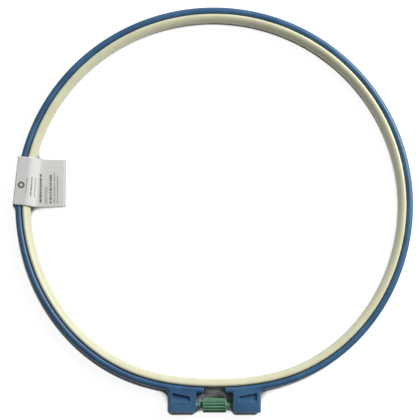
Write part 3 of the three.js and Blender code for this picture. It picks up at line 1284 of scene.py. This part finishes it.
    def _drape(self, start: Vector, end: Vector) -> list[Vector]:
        """Curve a leaf off the inner ring: level at first and steep where it ends.

        Args:
            start: Where the leaf leaves the ring.
            end: Where it meets the other leaf.

        Returns:
            The curve's points, both ends included.
        """
        points = []
        for i in range(self.drape_steps + 1):
            turn = self.drape_turn * i / self.drape_steps
            across = math.sin(turn) / math.sin(self.drape_turn)
            down = (1 - math.cos(turn)) / (1 - math.cos(self.drape_turn))
            points.append(Vector((start.x + (end.x - start.x) * across, 0, start.z + (end.z - start.z) * down)))
        return points

    def _turned_aside(self, x: float) -> float:
        """Tell how far the strip has moved along the rings: not at all over them, then more and more.

        Args:
            x: The distance from the fold, seen from above.

        Returns:
            The distance moved.
        """
        drape = self.join - self.crest
        past = max(x - self.crest, 0)
        shift = past**2 / (2 * drape) if past < drape else past - drape / 2
        return shift * math.tan(self.loose_turn)

    def _waviness(self, x: float, end: float, y: float) -> float:
        """Tell how far the loose paper inside the hoop stands off its line: it bows between its corners.

        Args:
            x: The distance from the fold, seen from above.
            end: Where the upper leaf ends at this place along the rings.
            y: Where along the rings, from the label's middle.

        Returns:
            How far up the paper stands.
        """
        loose = min(max((x - self.join) / (end - self.join), 0), 1)
        bow = math.cos(y / self.height * FULL_TURN / 2) - self.bow_level
        ripple = math.sin(x / self.ripple_reach) * math.sin(y / self.ripple_along + self.ripple_start)
        return self.wave * loose * (self.bow * bow + self.ripple * ripple)

    def _leaf(self, name: str, line_at: Callable[[float], list[Vector]], overhang: float) -> bpy.types.Object:
        """Lay a fine grid along a leaf's lines and give it the paper's thickness.

        Args:
            name: The piece's name.
            line_at: Gives the leaf's line in its own frame's XZ plane at a place along the rings.
            overhang: How far the leaf reaches past the upper one.

        Returns:
            The leaf, in place.
        """
        middle = line_at(0)
        stretches = [run(ends) for ends in zip(middle, middle[1:])]
        parts = [max(math.ceil(stretch / self.longest_step), 1) for stretch in stretches]
        columns = sum(parts)
        mesh = bmesh.new()
        # The grid is 1 by 1 about the origin, so that a vertex's place tells its column and its row.
        bmesh.ops.create_grid(mesh, x_segments=columns, y_segments=self.across_steps, size=0.5)
        paper = mesh.loops.layers.uv.new("paper")
        lines = {}
        for vert in mesh.verts:
            column, row = round((vert.co.x + 0.5) * columns), round((vert.co.y + 0.5) * self.across_steps)
            y = (row / self.across_steps - 0.5) * self.height
            if row not in lines:
                lines[row] = split(line_at(y), parts)
            points = lines[row]
            point = points[column]
            lift = self._waviness(point.x - overhang, points[-1].x - overhang, y)
            slack = (run(middle) - run(points)) * min(max((point.x - self.crest) / (self.join - self.crest), 0), 1)
            for loop in vert.link_loops:
                loop[paper].uv = (run(points[: column + 1]) + slack, y + self.height / 2)
            vert.co = Vector((point.x, y + self.slid + self._turned_aside(point.x), point.z + lift))
        bmesh.ops.transform(mesh, matrix=self.turn.to_4x4(), verts=mesh.verts[:])
        leaf = place_mesh(mesh, name, Vector((self.fold.x, self.fold.y, 0)))
        leaf.data.polygons.foreach_set("use_smooth", [True] * len(leaf.data.polygons))
        wall = leaf.modifiers.new("Paper thickness", "SOLIDIFY")
        wall.thickness = self.thickness
        wall.offset = -1
        return leaf


# The studio


@dataclass
class Studio:
    """A pale table, one large soft lamp from the upper right, and plain light from all around.

    light_azimuth is where most of the light comes from, the lamp's and the room's together. A fade gives
    the open shares between which the table's glow comes up: all round, and beside the hoop. Where the glow
    fades, the table shows painted shade: between the clamp blocks, and a painted contact shadow beside the
    hoop on the side away from light_azimuth.
    """

    table_size: float = 24.0
    table_colour: str = "#acb1b2"
    table_roughness: float = 0.9
    table_glow: float = 0.9
    shut_in_reach: float = 20 * MM
    painted_shade_fade: tuple[float, float] = (0.34, 0.5)
    shut_in_samples: int = 16
    contact_reach: float = 3.7 * MM
    painted_contact_shadow_fade: tuple[float, float] = (0.6, 0.66)
    contact_samples: int = 32
    contact_tilt: float = math.radians(25)
    light_azimuth: float = math.radians(58)
    lamp_azimuth: float = math.radians(35)
    lamp_elevation: float = math.radians(42)
    lamp_distance: float = 0.95
    lamp_size: float = 0.5
    lamp_power: float = 10.2
    lamp_colour: str = "#fdffff"
    zenith_strength: float = 0.12
    horizon_strength: float = 0.42
    far_side_share: float = 0.9

    def build(self) -> None:
        """Build the table, the lamp and the surrounding light."""
        self._table()
        self._lamp()
        self._world()

    def _table(self) -> None:
        """Lay the table: uncoated card, dead matt and nearly white, which keeps the object's shadow; painted shade
        near the hoop.
        """
        mesh = bmesh.new()
        bmesh.ops.create_grid(mesh, x_segments=1, y_segments=1, size=self.table_size / 2)
        table = place_mesh(mesh, "table", Vector((0, 0, 0)))
        material = bpy.data.materials.new("pale_table_card_painted_shade")
        material.use_nodes = True
        tree = material.node_tree
        shader = tree.nodes["Principled BSDF"]
        shader.inputs["Base Color"].default_value = linear(self.table_colour)
        shader.inputs["Roughness"].default_value = self.table_roughness
        shader.inputs["Emission Color"].default_value = linear(WHITE)
        tree.links.new(self._glow_with_painted_shade(tree), shader.inputs["Emission Strength"])
        table.data.materials.append(material)

    def _glow_with_painted_shade(self, tree: bpy.types.NodeTree) -> bpy.types.NodeSocket:
        """Make the table white to the camera, in gloss and through clear pieces, but no lamp.

        The glow fades out where the hoop shuts the table in, as between the clamp blocks, and right beside
        the hoop on the side away from the light. These fades are painted shade and a painted contact shadow,
        taken from ambient occlusion rather than from the lamp.

        Args:
            tree: The table material's node tree.

        Returns:
            The socket with the glow's strength, with the painted shade in it.
        """
        rays = add_node(tree, "ShaderNodeLightPath").outputs
        glow = rays["Is Camera Ray"]
        for kind in ("Is Glossy Ray", "Is Transmission Ray"):
            glow = add_node(tree, "ShaderNodeMath", {"operation": "MAXIMUM"}, in_0=glow, in_1=rays[kind]).outputs[0]
        # The painted contact shadow falls on the side away from this direction.
        light_side = add_node(
            tree,
            "ShaderNodeCombineXYZ",
            X=math.cos(self.contact_tilt) * math.cos(self.light_azimuth),
            Y=math.cos(self.contact_tilt) * math.sin(self.light_azimuth),
            Z=math.sin(self.contact_tilt),
        )
        painted_shade_all_round = add_node(
            tree, "ShaderNodeAmbientOcclusion", {"samples": self.shut_in_samples}, Distance=self.shut_in_reach
        )
        beside = add_node(
            tree,
            "ShaderNodeAmbientOcclusion",
            {"samples": self.contact_samples},
            Distance=self.contact_reach,
            Normal=light_side.outputs["Vector"],
        )
        # Each occlusion fade dims the glow. This paints shade between the parts and a contact shadow beside the
        # hoop.
        for shade, fade, most in (
            (painted_shade_all_round, self.painted_shade_fade, self.table_glow),
            (beside, self.painted_contact_shadow_fade, 1.0),
        ):
            share = add_node(
                tree,
                "ShaderNodeMapRange",
                {"interpolation_type": "SMOOTHSTEP"},
                Value=shade.outputs["AO"],
                From_Min=fade[0],
                From_Max=fade[1],
                To_Min=0.0,
                To_Max=most,
            ).outputs["Result"]
            glow = add_node(tree, "ShaderNodeMath", {"operation": "MULTIPLY"}, in_0=glow, in_1=share).outputs[0]
        return glow

    def _lamp(self) -> None:
        """Hang the lamp and aim it at the hoop."""
        lamp = bpy.data.lights.new("soft_lamp", "AREA")
        lamp.shape = "SQUARE"
        lamp.size = self.lamp_size
        lamp.energy = self.lamp_power
        lamp.color = linear(self.lamp_colour)[:3]
        flat = math.cos(self.lamp_elevation)
        place = self.lamp_distance * Vector(
            (
                flat * math.cos(self.lamp_azimuth),
                flat * math.sin(self.lamp_azimuth),
                math.sin(self.lamp_elevation),
            )
        )
        holder = bpy.data.objects.new("soft_lamp", lamp)
        holder.location = place
        holder.rotation_euler = (-place).to_track_quat("-Z", "Y").to_euler()
        bpy.context.scene.collection.objects.link(holder)

    def _world(self) -> None:
        """Give light from all around, as in a pale room: less from overhead, more from beyond the hoop (+Y)."""
        world = bpy.data.worlds.new("room_light")
        world.use_nodes = True
        tree = world.node_tree
        background = tree.nodes["Background"]
        background.inputs["Color"].default_value = linear(WHITE)
        direction = add_node(tree, "ShaderNodeTexCoord").outputs["Generated"]
        parts = add_node(tree, "ShaderNodeSeparateXYZ", Vector=direction).outputs
        by_height = add_node(
            tree,
            "ShaderNodeMapRange",
            Value=parts["Z"],
            To_Min=self.horizon_strength,
            To_Max=self.zenith_strength,
        )
        by_side = add_node(
            tree,
            "ShaderNodeMath",
            {"operation": "MULTIPLY_ADD"},
            in_0=parts["Y"],
            in_1=self.far_side_share,
            in_2=1.0,
        )
        strength = add_node(
            tree,
            "ShaderNodeMath",
            {"operation": "MULTIPLY"},
            in_0=by_height.outputs["Result"],
            in_1=by_side.outputs[0],
        )
        tree.links.new(strength.outputs[0], background.inputs["Strength"])
        bpy.context.scene.world = world


@dataclass
class PhotoCamera:
    """The camera, far above the hoop and off to the screw's and the label's side.

    aside is from the rings' centre to what the camera aims at. lean is how far it stands aside for each
    metre that it is above that.
    """

    centre: Vector
    aside: Vector = Vector((-2.95, -4.8, 0)) * MM
    distance: float = 1.4
    lean: Vector = Vector((-0.015, -0.13, 1))
    view_width: float = 284.6 * MM
    sensor_width: float = 36.0
    clip_start: float = 0.05

    def build(self) -> None:
        """Place the camera, with +Y up in the picture, and make it the scene's."""
        data = bpy.data.cameras.new("photo_camera")
        data.sensor_width = self.sensor_width
        data.lens = self.sensor_width * self.distance / self.view_width
        data.clip_start = self.clip_start
        camera = bpy.data.objects.new("photo_camera", data)
        back = self.lean.normalized()
        right = Vector((0, 1, 0)).cross(back).normalized()
        camera.location = self.centre + self.aside + back * self.distance
        camera.rotation_euler = Matrix((right, back.cross(right), back)).transposed().to_euler()
        bpy.context.scene.collection.objects.link(camera)
        bpy.context.scene.camera = camera


def main(frame: dict) -> None:
    """Build the camera, the studio and the hoop's pieces in order, and report each.
    """
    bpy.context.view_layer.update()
    plan = RingPlan.from_cad()
    PhotoCamera(plan.centre).build()
    Studio().build()
    for sub_assembly in (OuterRing(plan), InnerRing(plan), TighteningScrew(plan)):
        piece = sub_assembly.build()
        sub_assembly.dress(piece)
        log.info("%s: %d faces", piece.name, len(piece.data.polygons))
    label = Label.from_frame(frame)
    leaves = label.build()
    label.dress(leaves)
    for leaf in leaves:
        log.info("%s: %d faces", leaf.name, len(leaf.data.polygons))
    bpy.context.scene.view_settings.view_transform = "Standard"


if __name__ == "__main__":
    logging.basicConfig(level=logging.INFO, format="%(name)s: %(message)s")
    main(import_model())
